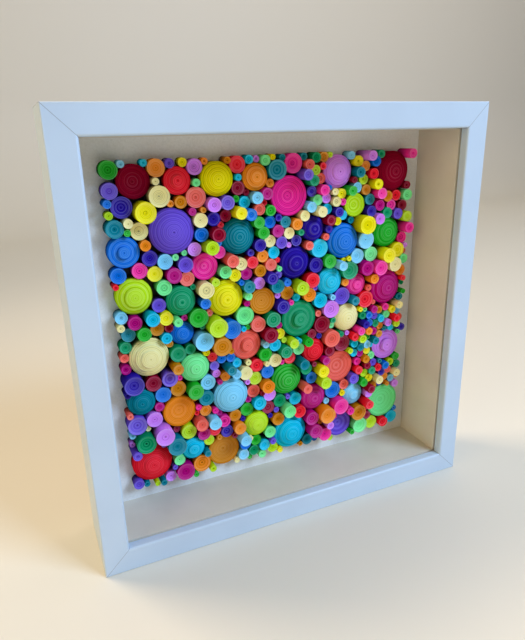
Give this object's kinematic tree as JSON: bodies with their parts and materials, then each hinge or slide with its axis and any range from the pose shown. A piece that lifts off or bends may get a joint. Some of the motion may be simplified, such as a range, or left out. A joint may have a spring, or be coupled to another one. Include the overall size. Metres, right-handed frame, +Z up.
{
  "type": "framed quilled paper art",
  "caption": "Square white box frame, open at the front, holding a white card covered in domed, dished and peg-like coils of rolled coloured paper.",
  "frame": {"origin": "middle of the underside of the frame, halfway through its depth", "axes": "+Z up, -Y out of the open front toward the viewer, +X to the viewer's right"},
  "size_m": [0.25, 0.05, 0.25],
  "materials": {
    "white_rail": "fibreboard wrapped in smooth white foil, satin",
    "white_spacer": "fibreboard strip faced in matt white paper",
    "steel": "plain zinc-plated sheet steel",
    "white_card": "smooth white card",
    "hardboard": "brown hardboard",
    "paper_crimson": "matt quilling paper strip, tightly rolled",
    "paper_red": "matt quilling paper strip, tightly rolled",
    "paper_coral": "matt quilling paper strip, tightly rolled",
    "paper_orange": "matt quilling paper strip, tightly rolled",
    "paper_amber": "matt quilling paper strip, tightly rolled",
    "paper_yellow": "matt quilling paper strip, tightly rolled",
    "paper_cream": "matt quilling paper strip, tightly rolled",
    "paper_lime": "matt quilling paper strip, tightly rolled",
    "paper_green": "matt quilling paper strip, tightly rolled",
    "paper_emerald": "matt quilling paper strip, tightly rolled",
    "paper_mint": "matt quilling paper strip, tightly rolled",
    "paper_teal": "matt quilling paper strip, tightly rolled",
    "paper_turquoise": "matt quilling paper strip, tightly rolled",
    "paper_sky": "matt quilling paper strip, tightly rolled",
    "paper_blue": "matt quilling paper strip, tightly rolled",
    "paper_navy": "matt quilling paper strip, tightly rolled",
    "paper_violet": "matt quilling paper strip, tightly rolled",
    "paper_lilac": "matt quilling paper strip, tightly rolled",
    "paper_magenta": "matt quilling paper strip, tightly rolled",
    "paper_pink": "matt quilling paper strip, tightly rolled"
  },
  "bodies": {
    "root": {"rail_bottom": "white_rail", "spacer_bottom": "white_spacer", "rail_left": "white_rail", "spacer_left": "white_spacer", "rail_top": "white_rail", "spacer_top": "white_spacer", "rail_right": "white_rail", "spacer_right": "white_spacer", "corner_nails": "steel", "backboard_tabs": "steel", "hanger_plate": "steel", "hanger_rivets": "steel", "backing_card": "white_card", "backboard": "hardboard", "large_coils_crimson": "paper_crimson", "small_coils_crimson": "paper_crimson", "large_coils_red": "paper_red", "small_coils_red": "paper_red", "large_coils_coral": "paper_coral", "small_coils_coral": "paper_coral", "large_coils_orange": "paper_orange", "small_coils_orange": "paper_orange", "large_coils_amber": "paper_amber", "small_coils_amber": "paper_amber", "large_coils_yellow": "paper_yellow", "small_coils_yellow": "paper_yellow", "large_coils_cream": "paper_cream", "small_coils_cream": "paper_cream", "large_coils_lime": "paper_lime", "small_coils_lime": "paper_lime", "large_coils_green": "paper_green", "small_coils_green": "paper_green", "large_coils_emerald": "paper_emerald", "small_coils_emerald": "paper_emerald", "large_coils_mint": "paper_mint", "small_coils_mint": "paper_mint", "large_coils_teal": "paper_teal", "small_coils_teal": "paper_teal", "large_coils_turquoise": "paper_turquoise", "small_coils_turquoise": "paper_turquoise", "large_coils_sky": "paper_sky", "small_coils_sky": "paper_sky", "large_coils_blue": "paper_blue", "small_coils_blue": "paper_blue", "large_coils_navy": "paper_navy", "small_coils_navy": "paper_navy", "large_coils_violet": "paper_violet", "small_coils_violet": "paper_violet", "large_coils_lilac": "paper_lilac", "small_coils_lilac": "paper_lilac", "large_coils_magenta": "paper_magenta", "small_coils_magenta": "paper_magenta", "large_coils_pink": "paper_pink", "small_coils_pink": "paper_pink"}
  },
  "joints": []
}
